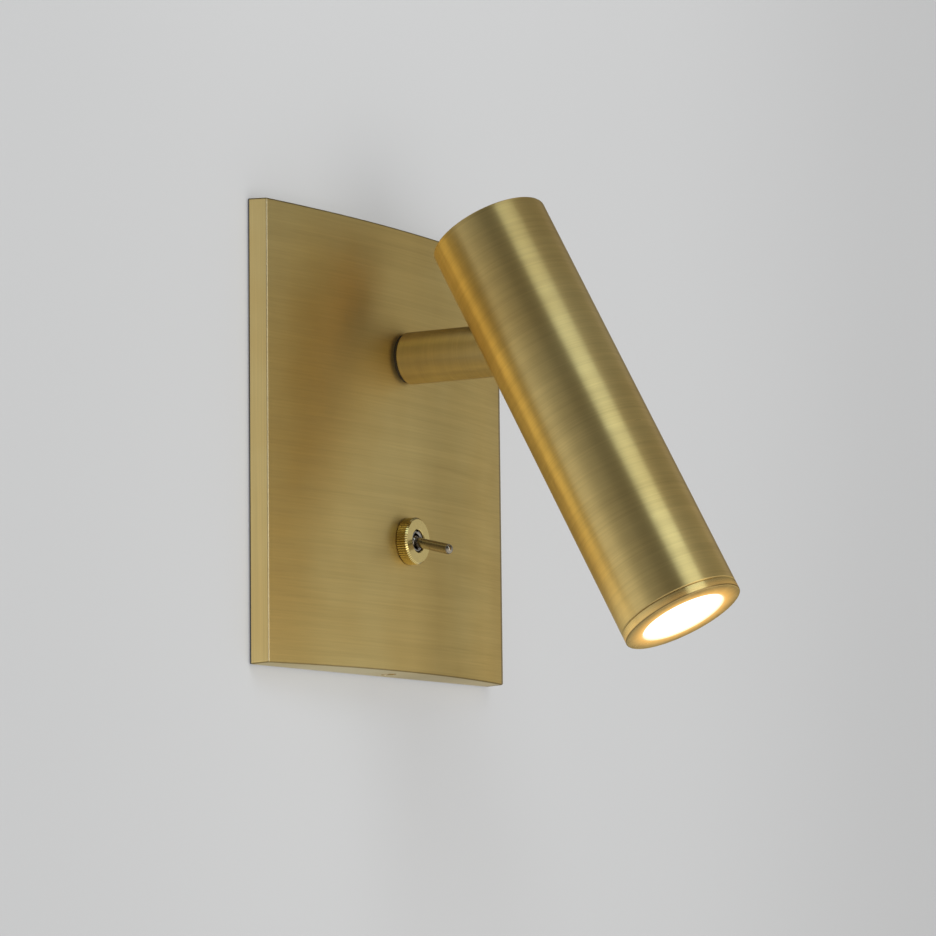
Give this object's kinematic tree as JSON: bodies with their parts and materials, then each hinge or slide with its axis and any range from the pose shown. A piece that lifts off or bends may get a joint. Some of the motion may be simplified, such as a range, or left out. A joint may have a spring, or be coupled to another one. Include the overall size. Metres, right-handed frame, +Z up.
{
  "type": "wall spotlight",
  "caption": "Wall spotlight: square brass plate with a bowed front and a toggle switch, a swivelling arm, and a tilting tube head with a lit lens.",
  "frame": {"origin": "middle of the two wall fixing slots, on the plane of the wall, which is also the middle of the face plate", "axes": "+Z up the wall, +Y into the wall, +X to the right of a person who faces the light"},
  "size_m": [0.1206, 0.1074, 0.1247],
  "materials": {
    "brushed_brass": "brushed, lacquered antique brass",
    "polished_brass": "polished",
    "plain_brass": "machined",
    "nickel_plate": "bright nickel",
    "zinc_steel": "zinc plated",
    "spring_steel": "plain spring steel",
    "dark_steel": "blackened",
    "bare_aluminium": "machined",
    "mirror_coat": "bright coated",
    "dark_rubber": "matt",
    "black_nylon": "matt",
    "sleeve_black": "shrink sleeve",
    "white_plastic": "moulded",
    "green_board": "solder mask",
    "white_board": "white solder mask",
    "ferrite": "taped core",
    "emitter": "phosphor",
    "lens_clear": "clear",
    "insulation_brown": "insulation",
    "insulation_blue": "insulation",
    "insulation_green": "insulation",
    "insulation_white": "insulation"
  },
  "bodies": {
    "plate": {"face_plate": "brushed_brass", "edge_gasket": "dark_rubber", "wall_bracket": "zinc_steel", "grub_screw": "dark_steel", "cable_grommet": "dark_rubber", "earth_screw": "plain_brass", "terminal_block": "white_plastic", "terminal_screws": "zinc_steel", "driver_case": "white_plastic", "driver_lid": "white_plastic", "driver_board": "green_board", "driver_transformer": "ferrite", "driver_capacitor": "sleeve_black", "driver_screws": "zinc_steel", "swivel_bush": "black_nylon", "switch_body": "black_nylon", "switch_bushing": "nickel_plate", "switch_washer": "zinc_steel", "ring_nut": "polished_brass", "switch_lugs": "nickel_plate", "lever_pin": "dark_steel", "live_lead": "insulation_brown", "switched_lead": "insulation_brown", "neutral_lead": "insulation_blue", "earth_lead": "insulation_green", "driver_lead": "insulation_white"},
    "arm": {"arm": "brushed_brass", "wave_washer": "spring_steel", "stop_washer": "zinc_steel", "swivel_nut": "plain_brass", "arm_lead": "insulation_white"},
    "head": {"head_tube": "brushed_brass", "bezel_ring": "brushed_brass", "lens": "lens_clear", "lens_seal": "dark_rubber", "reflector": "mirror_coat", "light_board": "white_board", "light_emitter": "emitter", "board_screws": "zinc_steel", "heat_sink": "bare_aluminium", "tie_screws": "zinc_steel", "pivot_block": "bare_aluminium", "pivot_screws": "dark_steel", "friction_washers": "black_nylon", "block_screws": "plain_brass", "head_lead": "insulation_white"},
    "lever": {"toggle_lever": "nickel_plate"}
  },
  "joints": [
    {"name": "swivel", "type": "hinge", "parent": "plate", "child": "arm", "pos_m": [0, -0.01195, 0.0247], "axis": [0, -1, 0], "range_deg": [-165, 165]},
    {"name": "tilt", "type": "hinge", "parent": "arm", "child": "head", "pos_m": [0, -0.05415, 0.0247], "axis": [-1, 0, 0], "range_deg": [-27.9, 17.1]},
    {"name": "toggle", "type": "hinge", "parent": "plate", "child": "lever", "pos_m": [0, -0.0125, -0.0247], "axis": [-1, 0, 0], "range_deg": [0, 28.2]}
  ]
}
